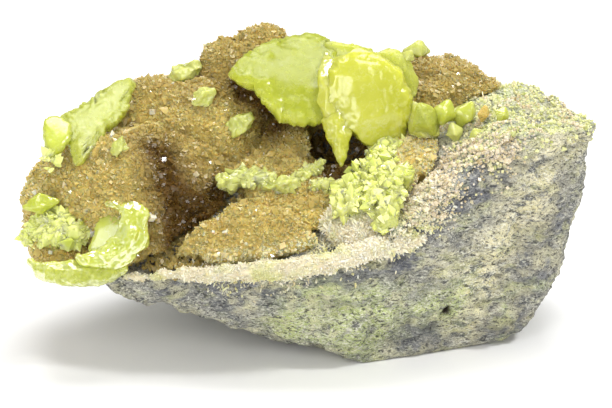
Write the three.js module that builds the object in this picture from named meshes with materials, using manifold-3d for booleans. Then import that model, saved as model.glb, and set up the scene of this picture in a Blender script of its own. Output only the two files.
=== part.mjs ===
// A hand specimen of native sulfur: pale yellow crystals that grew on a honey-brown calcite druse, which lines
// one side of a broken lump of grey limestone. Lengths are in millimetres and +Z is up.
// Every place below is given in the bench frame: X runs along the specimen, Y runs from its front to its back,
// Y = 0 is the front of the foot, and Z = 0 is the surface that it stands on. The last lines shift the whole
// specimen so that its origin is the middle of its box, on that surface.
// The pieces are made in the order in which they grew: rock, pale rim crust, druse, sulfur. Each one is cut back
// by everything older that it touches, which leaves a gap of about GAP between the two.

import * as THREE from "three";
import { ConvexGeometry } from "three/addons/geometries/ConvexGeometry.js";
import { ImprovedNoise } from "three/addons/math/ImprovedNoise.js";
import { TessellateModifier } from "three/addons/modifiers/TessellateModifier.js";
import { mergeVertices } from "three/addons/utils/BufferGeometryUtils.js";
import Module from "manifold-3d";

// ---- driving dimensions ----

const GAP = 0.3;
const SKIN = 1.2 * GAP; // an older piece is thickened by this before it cuts a younger one
const EDGE_SHARE = 1.7; // more than that on a surface that is pushed out at its corners, not face by face

const ROCK_FACET = 8; // longest edge on the broken rock
const ROCK_SWELL = { height: 1.3, length: 12 }; // the broad unevenness of a fracture
const ROCK_GRAIN = { height: 0.7, length: 4.5 };
const BASE_FADE = 3; // the unevenness dies away over this height, so that the foot stays flat

const CRUST_THICK = 2.3; // across the rim
const CRUST_PROUD = 1.6; // above the rim
const CRUST_STEPS = 18;
const CRUST_SWELL = { height: 0.8, length: 3.5 };

const LOBE_FACET = 4.4; // a lobe has this much of its radius for every time that its icosahedron is divided
const LOBE_SWELL = { height: 0.16, length: 8 }; // height is a share of the lobe's radius

const POINT_CUT = 0.4; // how wide a sulfur crystal's flattened point is, as a share of its waist

// ---- materials ----

const finish = (color, roughness) =>
  new THREE.MeshStandardMaterial({ color, roughness, metalness: 0 });
const limestone = finish(0x8f9084, 0.95);
const paleCrust = finish(0xd6c9a4, 0.8);
const druse = finish(0xb89a55, 0.45);
const sulfur = finish(0xd9de55, 0.3);

// ---- surfaces and solids ----

const wasm = await Module();
wasm.setup();
const noise = new ImprovedNoise();
const vec = ([x, y, z]) => new THREE.Vector3(x, y, z);

// The same surface with its vertices shared, and nothing but their places kept.
function shared(geometry) {
  const bare = geometry.index ? geometry.toNonIndexed() : geometry.clone();
  bare.deleteAttribute("normal");
  bare.deleteAttribute("uv");
  return mergeVertices(bare, 1e-3);
}

function solidOf(geometry) {
  const { attributes, index } = shared(geometry);
  return new wasm.Manifold(
    new wasm.Mesh({
      numProp: 3,
      vertProperties: new Float32Array(attributes.position.array),
      triVerts: new Uint32Array(index.array),
    }),
  );
}

function geometryOf(solid) {
  const { vertProperties, triVerts } = solid.getMesh();
  return new THREE.BufferGeometry()
    .setAttribute("position", new THREE.BufferAttribute(vertProperties, 3))
    .setIndex(new THREE.BufferAttribute(triVerts, 1));
}

// Smooth noise at a point, for a pattern that repeats about every `length`.
function unevenness(point, { height, length }) {
  const { x, y, z } = point.clone().divideScalar(length);
  return height * noise.noise(x + 31.7, y + 11.3, z + 7.9);
}

function moveEachVertex(geometry, move) {
  const { position } = geometry.attributes;
  const point = new THREE.Vector3();
  for (let i = 0; i < position.count; i++) {
    point.fromBufferAttribute(position, i);
    move(point, i);
    position.setXYZ(i, point.x, point.y, point.z);
  }
  return geometry;
}

// Moves every vertex straight out of the surface, by an amount that depends on where it is.
function pushOut(geometry, amount) {
  geometry.computeVertexNormals();
  const { normal } = geometry.attributes;
  const outwards = new THREE.Vector3();
  return moveEachVertex(geometry, (p, i) => {
    outwards.fromBufferAttribute(normal, i);
    p.addScaledVector(outwards, amount(p));
  });
}

// ---- shapes: each is a function that takes the thickness of skin to add, and returns a solid ----

// The convex body with the given corners, as a crystal or a split block of stone is. Its skin is laid on face by
// face: every face moves straight out.
const cornered = (corners) => (skin) => {
  const body = new ConvexGeometry(corners.map(vec));
  if (skin === 0) return solidOf(body);
  const { position, normal } = body.attributes;
  const moved = [];
  for (let i = 0; i < position.count; i++) {
    const face = new THREE.Vector3().fromBufferAttribute(normal, i);
    const corner = new THREE.Vector3().fromBufferAttribute(position, i);
    moved.push(corner.addScaledVector(face, skin));
  }
  return solidOf(new ConvexGeometry(moved));
};

// Sulfur's own habit: a steep four-sided double pyramid with both of its points cut flat. Size is its width, depth
// and height, and lean is its three turns in degrees.
const bipyramid = (centre, size, lean) => {
  const turn = new THREE.Euler(...lean.map(THREE.MathUtils.degToRad));
  const ring = (height, width) =>
    [45, 135, 225, 315].map((degrees) => {
      const angle = THREE.MathUtils.degToRad(degrees);
      const corner = vec([
        Math.cos(angle) * width,
        Math.sin(angle) * width,
        height,
      ]);
      return corner.multiply(vec(size)).multiplyScalar(0.5);
    });
  const corners = [
    ...ring(-1, POINT_CUT),
    ...ring(-0.3, 1),
    ...ring(0.25, 1.05),
    ...ring(1, POINT_CUT),
  ];
  return cornered(
    corners.map((c) => c.applyEuler(turn).add(vec(centre)).toArray()),
  );
};

// A rounded lump of druse: an icosphere stretched to three radii, with an uneven surface. Slope is how steeply it
// rises towards the back, in degrees.
const lobe =
  (centre, radii, slope = 0) =>
  (skin) => {
    const turn = new THREE.Euler(THREE.MathUtils.degToRad(slope), 0, 0);
    const detail = Math.round(Math.cbrt(radii[0] * radii[1] * radii[2]) / LOBE_FACET);
    const body = shared(new THREE.IcosahedronGeometry(1, Math.max(1, detail)));
    moveEachVertex(body, (p) => {
      const outwards = p.clone().applyEuler(turn);
      const reach = p.multiply(vec(radii)).applyEuler(turn).clone();
      const swell = unevenness(p.add(vec(centre)), LOBE_SWELL);
      p.addScaledVector(reach, swell).addScaledVector(outwards, skin);
    });
    return solidOf(body);
  };

// Shapes that grew into one another.
const grownTogether =
  (...shapes) =>
  (skin) =>
    shapes.map((shape) => shape(skin)).reduce((all, one) => all.add(one));

// ---- the rock: a tapering shelf to the left and a taller block to the right, on one flat broken foot ----

const footLeft = [
  [9.8, 0.5, 0],
  [22, 38, 0],
  [-8, 39, 0],
  [-15, 31, 0],
  [2, 8, 0],
];
const footRight = [
  [9.8, 0.5, 0],
  [30, 9, 0],
  [34, 24, 0],
  [22, 38, 0],
  [6, 30, 0],
];

const shelf = cornered([
  ...footLeft,
  [-42, 7, 15.5],
  [-44, 12, 19.5],
  [-29, -4, 16.8],
  [-15, -8, 19.5],
  [-1, -9, 20.6],
  [7, -9, 22.4],
  [-23, 0, 10.8],
  [-15, 3, 6.7],
  [-6, 6, 4.1],
  [-1, 8, 1.8],
  [9, -7.4, 20],
  [-42, 24, 16],
  [-31, 35, 14],
  [-13, 40, 7],
  [20, 41, 6],
  [-40, 27, 28],
  [-26, 37, 36],
  [-6, 41, 41],
  [18, 41, 41],
]);

const block = cornered([
  ...footRight,
  [34.5, 9.5, 1.6],
  [41.5, 10, 9],
  [41.8, 11, 13],
  [45, 10, 21.5],
  [46.3, 10, 29.5],
  [46.8, 8, 39],
  [32.4, 0, 40.7],
  [20, -6, 31],
  [13, -8, 25],
  [7, -9, 22.4],
  [47.4, 20, 38.3],
  [40, 31, 38],
  [27, 39, 40],
  [14, 41, 38],
  [10, 41, 20],
  [46, 30, 19],
  [39, 38, 12],
  [30, 39, 4],
]);

// The open hollow that goes down into the rock under the main sulfur group.
const hollow = lobe([5.5, 17, 31], [6, 8, 5.5]);
const hollowed = (shape) => (skin) => shape(skin).subtract(hollow(-skin));

const rock = (skin) => {
  const blank = geometryOf(grownTogether(shelf, block)(0));
  const facets = shared(
    new TessellateModifier(ROCK_FACET, 8).modify(shared(blank)),
  );
  const rough = (p) => {
    const fade = THREE.MathUtils.smoothstep(p.z, 0, BASE_FADE);
    const height = unevenness(p, ROCK_SWELL) + unevenness(p, ROCK_GRAIN);
    return fade * height + EDGE_SHARE * skin;
  };
  return solidOf(pushOut(facets, rough));
};

// ---- the pale crust: a thick cord of fine crystals along the front edge of the rock ----

const rimCrust = (skin) => {
  const rim = new THREE.CatmullRomCurve3(
    [
      [-30, -3.4, 17.3],
      [-22, -6, 18.6],
      [-15, -8, 19.8],
      [-1, -9, 21],
      [7, -9, 23],
      [12, -7.6, 24.6],
      [15, -4.5, 23.6],
    ].map(vec),
  );
  const section = new THREE.Shape().absellipse(
    0,
    0,
    CRUST_PROUD,
    CRUST_THICK,
    0,
    2 * Math.PI,
  );
  const cord = shared(
    new THREE.ExtrudeGeometry(section, {
      steps: CRUST_STEPS,
      curveSegments: 5,
      extrudePath: rim,
    }),
  );
  const rough = (p) => unevenness(p, CRUST_SWELL) + EDGE_SHARE * skin;
  return solidOf(pushOut(cord, rough));
};

// ---- the druse: rounded lumps, from the left end round the hollow to the right ----

const druseLeft = grownTogether(
  lobe([-27, 12, 25], [17.5, 14.5, 12.5]),
  lobe([-39, 14, 23], [8, 12, 11]),
  lobe([-24.5, 26, 33.4], [9, 8, 9.4]),
  lobe([-17, 22, 31], [12.5, 11, 12]),
  lobe([-12, 28, 38], [7.5, 8, 10]),
  lobe([-7.6, 30, 43.4], [5.2, 6, 7]),
);
const druseFloor = hollowed(
  grownTogether(
    lobe([5, 13, 29.6], [22, 24, 4], 27),
    lobe([-3, 18, 29], [7.5, 7.5, 8.5]),
  ),
);
const druseFront = lobe([-7, 1, 20.3], [15, 9.5, 7.8]);
const druseRight = grownTogether(
  lobe([21, 26, 37.5], [10, 9.5, 7.8]),
  lobe([29, 26, 37], [6.5, 8, 5]),
);
const druseShelf = lobe([20, 7, 30], [9.5, 11, 5.5], 30);
const druseCorner = lobe([-39, 6, 19.5], [6.5, 6.5, 4.5]);
const paleField = lobe([11.5, -2.5, 26], [9, 6.5, 3], 30);

// ---- the sulfur ----

// The group over the hollow: a flat blade with a plate behind it, the stout tablet that leans on them, a stem below
// and one more crystal behind the tablet.
const blade = cornered([
  [-12.6, 14, 48],
  [-7.3, 20, 49.7],
  [-3.5, 24, 50.4],
  [2, 25, 50.2],
  [4.5, 24, 48.4],
  [4.8, 15, 46.9],
  [4, 12, 38.6],
  [-1, 12, 39],
  [-2.7, 12, 40.3],
  [-6.3, 11, 43],
  [-10.3, 11.4, 46.3],
  [3, 10.6, 45.3],
  [-5, 20, 45],
  [4, 22, 43],
]);
const backPlate = cornered([
  [2.6, 25.5, 48.8],
  [10.2, 24.5, 48.6],
  [12, 22, 47.4],
  [3, 18, 47.4],
  [3, 26, 44],
  [10, 25, 44],
  [8, 17, 43],
]);
const tablet = cornered([
  [4, 14, 49],
  [7, 18, 50],
  [11.5, 18, 49.5],
  [15.3, 16, 47],
  [17.3, 14, 42.4],
  [16.4, 12, 37.4],
  [13.1, 11, 34.8],
  [8.6, 10, 36.2],
  [4.8, 10, 39.5],
  [3.4, 10, 45.1],
  [6, 7, 46],
  [10.5, 6, 46.4],
  [13.5, 7.9, 46.6],
  [14.5, 8.2, 41],
  [7.2, 6.2, 43],
  [10, 7.4, 38.5],
  [15, 19, 44],
  [6, 19, 45],
]);
const stem = grownTogether(
  cornered([
    [3.4, 12, 40],
    [6.6, 12, 40],
    [7, 12.6, 36],
    [6, 13, 34.6],
    [4.2, 13, 35],
    [3.4, 12.6, 37],
    [5, 16, 36],
    [5, 16, 40],
  ]),
  cornered([
    [4.2, 14, 37],
    [7.2, 14.4, 37],
    [6.8, 15, 33.4],
    [5.7, 15.4, 29.9],
    [4.6, 15, 33.6],
    [5.8, 17.4, 36],
  ]),
);
const behindTablet = cornered([
  [13, 21, 48.6],
  [16.4, 22, 47.9],
  [18, 20, 45.2],
  [18.6, 17, 41.4],
  [16.8, 15, 40.4],
  [14, 16, 46],
  [13.4, 24, 44],
  [17, 22, 41],
]);

// The group at the left end: one broad leaf over the edge of the druse, with a stub on its outer side.
const leaf = cornered([
  [-41.4, 12.5, 37.6],
  [-37.4, 17, 39.6],
  [-33.9, 22.5, 41.4],
  [-30.6, 24, 42.4],
  [-28.3, 23, 42],
  [-29.1, 19.6, 38.8],
  [-30.6, 17, 37.6],
  [-33.8, 10.6, 36.8],
  [-35, 6.6, 36.6],
  [-36.9, 3.4, 34.8],
  [-38.4, 3.6, 34.6],
  [-39.6, 8.6, 36.2],
  [-32, 23, 36],
  [-38, 14, 33],
  [-36, 8, 32],
]);
const leafStub = cornered([
  [-43.6, 13, 36.4],
  [-43.2, 13.4, 37.6],
  [-40.8, 13.4, 38.6],
  [-39.4, 9.6, 37],
  [-39.8, 7, 34.6],
  [-41.6, 7.4, 33],
  [-43.2, 10, 34],
  [-41.6, 17, 35],
]);
const leafFoot = bipyramid([-40.9, 6.2, 32], [3.4, 3, 5], [20, 25, 0]);

// Low on the left: a thick crescent, a ledge that carries on along the rim, and a flat lump above its end.
const horn = grownTogether(
  lobe([-29.2, -1.2, 26.2], [3.6, 4, 4.2]),
  lobe([-31.4, -2.6, 23.6], [4.2, 3.8, 4.2]),
  lobe([-34.6, -1.4, 21.4], [4, 3.8, 3.6]),
  lobe([-32.8, 0, 28], [2.2, 2.6, 2]),
);
const ledge = grownTogether(
  lobe([-40.6, 2.4, 16.6], [6.4, 5, 2.6]),
  lobe([-33.4, -1.6, 16.8], [5.4, 3.6, 2.4]),
);
const ovalLump = grownTogether(
  lobe([-43.4, 5.6, 26.2], [3.4, 3.4, 1.8]),
  bipyramid([-40.2, 3.4, 25.4], [2.6, 2.4, 4.6], [10, 60, 0]),
);
const cornerHeap = grownTogether(
  bipyramid([-43.6, 4, 22.4], [3.6, 3.4, 5], [20, 50, 0]),
  bipyramid([-41.2, 1.8, 22.2], [3.6, 3.2, 4.6], [-20, 80, 30]),
  bipyramid([-38.2, 1.4, 23.4], [3.2, 3, 4.6], [30, 60, 0]),
  bipyramid([-40.8, 2.6, 24], [3, 3, 4], [0, 30, 45]),
);

// A row of small stout crystals behind the front lump.
const chain = [
  grownTogether(
    bipyramid([-13.3, 5.4, 30.4], [3.8, 3.8, 4.4], [20, 20, 10]),
    bipyramid([-10.9, 7, 31.4], [3, 3, 4.8], [0, 80, 30]),
    bipyramid([-8.3, 7.6, 31.2], [2.8, 3, 4.6], [0, 100, 0]),
    bipyramid([-6.3, 6, 30], [3.2, 3.2, 4.6], [15, 10, 0]),
  ),
  grownTogether(
    bipyramid([-3.1, 5.2, 30], [4, 3.4, 4.4], [-15, 75, 20]),
    bipyramid([-0.4, 6.8, 31], [2.6, 2.6, 4.6], [10, 65, 30]),
    bipyramid([1.6, 8.2, 32], [2.4, 2.6, 3.8], [25, 35, 0]),
  ),
  grownTogether(
    bipyramid([2.2, 5.2, 29.8], [3, 2.8, 4.4], [10, 80, 0]),
    bipyramid([4.9, 4.2, 29.6], [3.4, 3, 4.6], [30, 60, 40]),
    bipyramid([7.6, 5.4, 30.4], [3.4, 3.2, 4.8], [0, 70, 10]),
  ),
];

// The heap of pale crystals in front of the tablet, from its foot down to the rim.
const heap = grownTogether(
  ...[
    [[10.2, 10.4, 33.4], [3.6, 3.6, 5.4], [10, 20, 20]],
    [[12.6, 8, 35], [4, 3.6, 5], [-20, 15, 50]],
    [[15.2, 7, 36.2], [3.8, 3.4, 5], [15, -25, 10]],
    [[12, 5, 33.6], [4.4, 4, 5.4], [0, 35, 60]],
    [[15.6, 1.6, 32.6], [3.8, 3.6, 5.6], [15, 15, 10]],
    [[9.7, 6.4, 31.6], [4.4, 4, 5], [30, 60, 35]],
    [[13.2, 2.4, 31.8], [4.2, 3.8, 5.4], [20, 10, 15]],
    [[10.6, 1.6, 30.6], [4.2, 4, 5.2], [5, -35, 30]],
    [[13.9, -1.2, 30.6], [4.6, 4.2, 6], [25, 5, 0]],
    [[7.4, 0.4, 30.2], [4.4, 4.2, 5.4], [-10, 55, 0]],
    [[10.6, -1.8, 29.8], [4.6, 4.2, 5.4], [15, 70, 10]],
    [[13, -4.2, 29.2], [4.2, 3.8, 5.6], [-15, 25, 40]],
    [[6.8, -2.8, 29.2], [3.6, 3.4, 4.6], [0, 60, 30]],
    [[12.8, -6.2, 27.8], [3.4, 3.2, 4.8], [20, 0, 10]],
  ].map((crystal) => bipyramid(...crystal)),
);

// To the right of the tablet: an angular greenish crystal with smaller ones in a row beside and below it.
const rightLarge = cornered([
  [17.2, 12, 43.2],
  [18.8, 11.4, 42.8],
  [22.2, 9.6, 39.8],
  [22.4, 8.8, 37.6],
  [21, 8.2, 36],
  [18.4, 8.4, 36],
  [16.8, 10, 37],
  [16.6, 11, 39.6],
  [19, 7.6, 38.4],
  [17.4, 16, 40],
  [21.4, 14.6, 38],
]);
const rightGroup = grownTogether(
  rightLarge,
  ...[
    [[22.7, 10.6, 41], [4.2, 4, 4.4], [-15, 20, 0]],
    [[26, 12, 40.4], [3.8, 3.8, 4.6], [15, 25, 30]],
    [[24, 8.8, 37], [4, 3.8, 4.6], [0, -15, 10]],
    [[27, 7.6, 37.2], [3.4, 3.4, 3.8], [10, 60, 0]],
  ].map((crystal) => bipyramid(...crystal)),
);
const rightSmall = [
  bipyramid([29.4, 9, 40.6], [3, 3, 3.8], [10, 5, 30]),
  bipyramid([32.2, 7, 41.3], [3, 3, 3.6], [-20, 30, 10]),
];

// Crystals on the far edge, and a few that sit by themselves on the druse.
const farEdge = grownTogether(
  bipyramid([18.6, 29, 46], [4.6, 4, 5.4], [15, 80, 20]),
  bipyramid([16.4, 26, 44.6], [4.4, 4.2, 6.2], [-10, 30, 0]),
);
const scattered = [
  bipyramid([-20.6, 26, 42.8], [4.4, 4, 6.8], [20, 55, 30]),
  bipyramid([-17.2, 15.6, 41.8], [3.6, 3.2, 5], [-15, 55, 20]),
  bipyramid([-11.3, 14, 37.6], [4.4, 3.8, 6.2], [15, 50, 60]),
  bipyramid([-30.7, 4.6, 36.7], [3.2, 3, 4.4], [10, 15, 45]),
];

// ---- growing the specimen ----

// A cut can leave crumbs beside the piece. Only its largest body is kept.
function largestBody(geometry) {
  const { position } = geometry.attributes;
  const corners = geometry.index.array;
  const root = Array.from({ length: position.count }, (_, i) => i);
  const find = (i) => {
    while (root[i] !== i) i = root[i] = root[root[i]];
    return i;
  };
  for (let i = 0; i < corners.length; i += 3) {
    root[find(corners[i])] = find(corners[i + 1]);
    root[find(corners[i + 1])] = find(corners[i + 2]);
  }
  const volumes = new Map();
  const [a, b, c] = [0, 1, 2].map(() => new THREE.Vector3());
  for (let i = 0; i < corners.length; i += 3) {
    a.fromBufferAttribute(position, corners[i]);
    b.fromBufferAttribute(position, corners[i + 1]);
    c.fromBufferAttribute(position, corners[i + 2]);
    const body = find(corners[i]);
    volumes.set(body, (volumes.get(body) ?? 0) + a.dot(b.cross(c)));
  }
  const [largest] = [...volumes].reduce((best, one) =>
    one[1] > best[1] ? one : best,
  );
  const kept = [];
  for (let i = 0; i < corners.length; i += 3) {
    if (find(corners[i]) === largest) kept.push(...corners.slice(i, i + 3));
  }
  return geometry.clone().setIndex(kept);
}

const specimen = new THREE.Group();
specimen.name = "native_sulfur_specimen";
const older = [];

function grow(name, material, shape) {
  const solid = older.reduce((left, cut) => left.subtract(cut), shape(0));
  const geometry = shared(largestBody(geometryOf(solid)));
  const piece = new THREE.Mesh(geometry, material);
  piece.name = name;
  specimen.add(piece);
  older.push(shape(SKIN));
}

grow("matrix_rock", limestone, hollowed(rock));
grow("rim_crust", paleCrust, grownTogether(rimCrust, paleField));
grow("druse_left", druse, druseLeft);
grow("druse_floor", druse, druseFloor);
grow("druse_front", druse, druseFront);
grow("druse_right", druse, druseRight);
grow("druse_shelf", druse, druseShelf);
grow("druse_corner", druse, druseCorner);

grow(
  "sulfur_main_group",
  sulfur,
  grownTogether(blade, backPlate, tablet, stem, behindTablet),
);
grow("sulfur_left_leaf", sulfur, grownTogether(leaf, leafStub, leafFoot));
grow("sulfur_horn", sulfur, grownTogether(horn, ledge));
grow("sulfur_oval", sulfur, grownTogether(ovalLump, cornerHeap));
chain.forEach((shape, i) => grow(`sulfur_chain_${i + 1}`, sulfur, shape));
grow("sulfur_heap", sulfur, heap);
grow("sulfur_right_group", sulfur, rightGroup);
rightSmall.forEach((shape, i) => grow(`sulfur_right_${i + 1}`, sulfur, shape));
grow("sulfur_far_edge", sulfur, farEdge);
scattered.forEach((shape, i) => grow(`sulfur_single_${i + 1}`, sulfur, shape));

// The origin goes to the middle of the box, on the surface that the specimen stands on.
const box = new THREE.Box3().setFromObject(specimen);
const middle = box.getCenter(new THREE.Vector3());
for (const piece of specimen.children) {
  piece.geometry.translate(-middle.x, -middle.y, -box.min.z);
}

export default specimen;
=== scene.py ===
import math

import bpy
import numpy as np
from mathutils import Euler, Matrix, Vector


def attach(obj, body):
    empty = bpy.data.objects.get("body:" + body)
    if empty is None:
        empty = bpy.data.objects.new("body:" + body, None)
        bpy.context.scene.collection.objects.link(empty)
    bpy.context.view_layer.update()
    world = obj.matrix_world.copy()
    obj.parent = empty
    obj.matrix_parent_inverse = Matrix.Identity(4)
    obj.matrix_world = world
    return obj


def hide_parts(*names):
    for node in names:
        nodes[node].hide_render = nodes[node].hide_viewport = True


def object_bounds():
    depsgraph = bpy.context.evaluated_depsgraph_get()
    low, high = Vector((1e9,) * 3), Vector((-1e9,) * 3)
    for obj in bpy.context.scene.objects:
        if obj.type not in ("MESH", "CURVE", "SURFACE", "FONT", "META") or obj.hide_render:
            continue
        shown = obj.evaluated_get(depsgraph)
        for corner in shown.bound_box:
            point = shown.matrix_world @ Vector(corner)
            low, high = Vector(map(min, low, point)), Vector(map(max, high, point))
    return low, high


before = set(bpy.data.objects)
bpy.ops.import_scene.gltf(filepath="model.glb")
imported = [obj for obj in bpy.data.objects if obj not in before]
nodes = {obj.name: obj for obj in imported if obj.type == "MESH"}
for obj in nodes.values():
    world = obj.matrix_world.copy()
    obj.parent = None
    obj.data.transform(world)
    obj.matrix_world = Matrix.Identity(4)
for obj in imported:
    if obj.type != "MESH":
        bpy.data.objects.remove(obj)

# A hand specimen of native sulfur: pale yellow crystals on a honey-brown calcite druse, which lines one
# side of a broken lump of grey limestone. Metres, +Z up. The rock, the druse and the sulfur cores start
# from the CAD node that they stand for, looked at from a root point inside the node: a surface is how far
# the node reaches in each direction of a grid. The sulfur plates, tubes and single crystals and the rim
# crust are built from outlines, paths and sizes given in millimetres.

CAD_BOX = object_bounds()
MM = 0.001
MOST_TRIANGLES = 180000  # in one mesh


# ---------------------------------------------------------------- camera and light

def add_camera():
    """Looks along +Y and 20 degrees down at the middle of the specimen, through a long lens."""
    lo, hi = CAD_BOX
    target = (lo + hi) / 2 + Vector((0, -5.2, 0)) * MM
    away, down = 600 * MM, math.radians(20)
    camera = bpy.data.objects.new("camera", bpy.data.cameras.new("camera"))
    camera.data.sensor_width = 36
    camera.data.lens = 211.8
    camera.data.clip_start = 0.01
    camera.location = target + away * Vector((0, -math.cos(down), math.sin(down)))
    camera.rotation_euler = (target - camera.location).to_track_quat("-Z", "Y").to_euler()
    bpy.context.scene.collection.objects.link(camera)
    bpy.context.scene.camera = camera


def add_area_light(name, place_mm, size_mm, power):
    """A soft square lamp that faces the middle of the specimen."""
    lamp = bpy.data.objects.new(name, bpy.data.lights.new(name, "AREA"))
    lamp.data.size = size_mm * MM
    lamp.data.energy = power
    lamp.location = Vector(place_mm) * MM
    aim = Vector((0, 0, 25)) * MM - lamp.location
    lamp.rotation_euler = aim.to_track_quat("-Z", "Y").to_euler()
    bpy.context.scene.collection.objects.link(lamp)


def light_the_studio():
    """A white room with a big soft roof lamp, a smaller key from the right and a broad front lamp."""
    world = bpy.data.worlds.new("white_room")
    world.use_nodes = True
    world.node_tree.nodes["Background"].inputs["Color"].default_value = (1, 1, 1, 1)
    world.node_tree.nodes["Background"].inputs["Strength"].default_value = 0.5
    bpy.context.scene.world = world
    add_area_light("roof", (0, 80, 410), 300, 1.55)
    add_area_light("key", (190, -110, 260), 40, 0.45)
    add_area_light("front", (-110, -340, 190), 240, 0.75)
    bpy.context.scene.view_settings.view_transform = "Standard"
    bpy.context.scene.view_settings.look = "None"


add_camera()
light_the_studio()


# ---------------------------------------------------------------- noise

class Noise:
    """Gradient noise in space: random slopes at whole-number points, blended smoothly between the eight
    around a point. It stays between about -1 and 1."""

    def __init__(self, seed):
        rng = np.random.default_rng(seed)
        slopes = rng.normal(size=(256, 3))
        self.slopes = slopes / np.linalg.norm(slopes, axis=1, keepdims=True)
        self.order = rng.permutation(256)

    def at(self, points, length):
        cell = points / length
        base = np.floor(cell).astype(np.int64)
        part = cell - base
        fade = part**3 * (part * (part * 6 - 15) + 10)
        total = np.zeros(len(points))
        for corner in np.ndindex(2, 2, 2):
            corner = np.array(corner)
            ix, iy, iz = ((base + corner) & 255).T
            key = self.order[(self.order[(self.order[ix] + iy) & 255] + iz) & 255]
            slope = ((part - corner) * self.slopes[key]).sum(1)
            share = np.where(corner, fade, 1 - fade).prod(1)
            total += share * slope
        return total * 1.6

    def layered(self, points, length, layers, keep=0.5):
        """Noise at `length`, plus finer and finer noise, each layer half as long and `keep` times as
        high."""
        return sum(keep**i * self.at(points + 7.3 * i * length, length / 2**i) for i in range(layers))


# ---------------------------------------------------------------- surfaces

def sphere_grid(n):
    """Directions on a cube's six n by n grids, spread evenly by the tangent of equal angles and put on a
    unit sphere. Points that two faces share are one point. Returns the directions and the quads between
    them."""
    steps = np.tan(np.linspace(-np.pi / 4, np.pi / 4, n + 1))
    u, v = np.meshgrid(steps, steps, indexing="ij")
    one = np.ones_like(u)
    sides = [(one, u, v), (-one, v, u), (v, one, u), (u, -one, v), (u, v, one), (v, u, -one)]
    points = np.concatenate([np.stack(side, -1).reshape(-1, 3) for side in sides])
    index = np.arange((n + 1) ** 2).reshape(n + 1, n + 1)
    quads = np.stack([index[:-1, :-1], index[1:, :-1], index[1:, 1:], index[:-1, 1:]], -1).reshape(-1, 4)
    quads = np.concatenate([quads + k * (n + 1) ** 2 for k in range(6)])
    _, first, which = np.unique(np.round(points, 6), axis=0, return_index=True, return_inverse=True)
    points = points[first]
    return points / np.linalg.norm(points, axis=1, keepdims=True), which.reshape(-1)[quads]


def node_triangles(name):
    """The corners of a CAD node's triangles, in millimetres, as an array of shape (triangles, 3, 3)."""
    mesh = nodes[name].data
    places = np.empty(len(mesh.vertices) * 3, np.float32)
    mesh.vertices.foreach_get("co", places)
    mesh.calc_loop_triangles()
    corners = np.empty(len(mesh.loop_triangles) * 3, np.int32)
    mesh.loop_triangles.foreach_get("vertices", corners)
    return (places.reshape(-1, 3)[corners].reshape(-1, 3, 3) / MM).astype(np.float64)


class Solid:
    """A CAD node seen from a root point inside it, in millimetres."""

    def __init__(self, name, root=None):
        self.triangles = node_triangles(name)
        lo, hi = self.triangles.min((0, 1)), self.triangles.max((0, 1))
        self.lo, self.hi = lo, hi
        self.root = (lo + hi) / 2 if root is None else lo + (hi - lo) * np.array(root)
        self.half = (hi - lo) / 2

    def reach(self, directions):
        """How far the node's skin is from the root along each direction. A ray crosses a triangle abc
        where its products with b x c, c x a and a x b are all positive, at the distance a . (b x c) over
        their sum; the furthest crossing counts."""
        a, b, c = (self.triangles - self.root).transpose(1, 0, 2)
        bc, ca, ab = np.cross(b, c), np.cross(c, a), np.cross(a, b)
        volume = (a * bc).sum(1)
        found = np.zeros(len(directions))
        for start in range(0, len(directions), 4000):
            u = directions[start:start + 4000]
            p, q, r = u @ bc.T, u @ ca.T, u @ ab.T
            total = p + q + r
            slack = -1e-6 * np.abs(total)
            hit = (p >= slack) & (q >= slack) & (r >= slack) & (total > 1e-9)
            far = np.where(hit, volume / np.where(hit, total, 1), 0)
            found[start:start + 4000] = far.max(1)
        return found

    def holds(self, points):
        """Which points are inside the node, as seen from its root."""
        away = points - self.root
        distance = np.linalg.norm(away, axis=1)
        near = ((points > self.lo) & (points < self.hi)).all(1)
        inside = np.zeros(len(points), bool)
        if near.any():
            inside[near] = self.reach(away[near] / distance[near, None]) > distance[near]
        return inside

    def surface(self, n):
        """The node's skin on a grid of directions that are closer together where the node is longer."""
        directions, quads = sphere_grid(n)
        directions = directions * self.half
        directions /= np.linalg.norm(directions, axis=1, keepdims=True)
        distance = self.reach(directions)
        missed = distance <= 0
        if missed.any():
            distance[missed] = np.median(distance[~missed]) * 0.5
        return self.root + directions * distance[:, None], quads


def edges_of(quads):
    """Each edge once, as a pair of point numbers."""
    pairs = np.concatenate([quads[:, [i, (i + 1) % 4]] for i in range(4)])
    return np.unique(np.sort(pairs, axis=1), axis=0)


def smoothed(points, quads, rounds, amount=0.5):
    """Each point moves towards the mean of its neighbours, over and over."""
    pairs = edges_of(quads)
    count = np.bincount(pairs.reshape(-1), minlength=len(points))[:, None]
    for _ in range(rounds):
        total = np.zeros_like(points)
        for axis in range(3):
            total[:, axis] = np.bincount(pairs[:, 0], points[pairs[:, 1], axis], len(points))
            total[:, axis] += np.bincount(pairs[:, 1], points[pairs[:, 0], axis], len(points))
        points = points + amount * (total / count - points)
    return points


def normals_of(points, quads):
    """The mean direction of the quads round each point, from the cross product of their diagonals."""
    a, b, c, d = points[quads].transpose(1, 0, 2)
    face = np.cross(c - a, d - b)
    normal = np.zeros_like(points)
    for axis in range(3):
        for corner in range(4):
            normal[:, axis] += np.bincount(quads[:, corner], face[:, axis], len(points))
    return normal / np.maximum(np.linalg.norm(normal, axis=1, keepdims=True), 1e-12)


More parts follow.
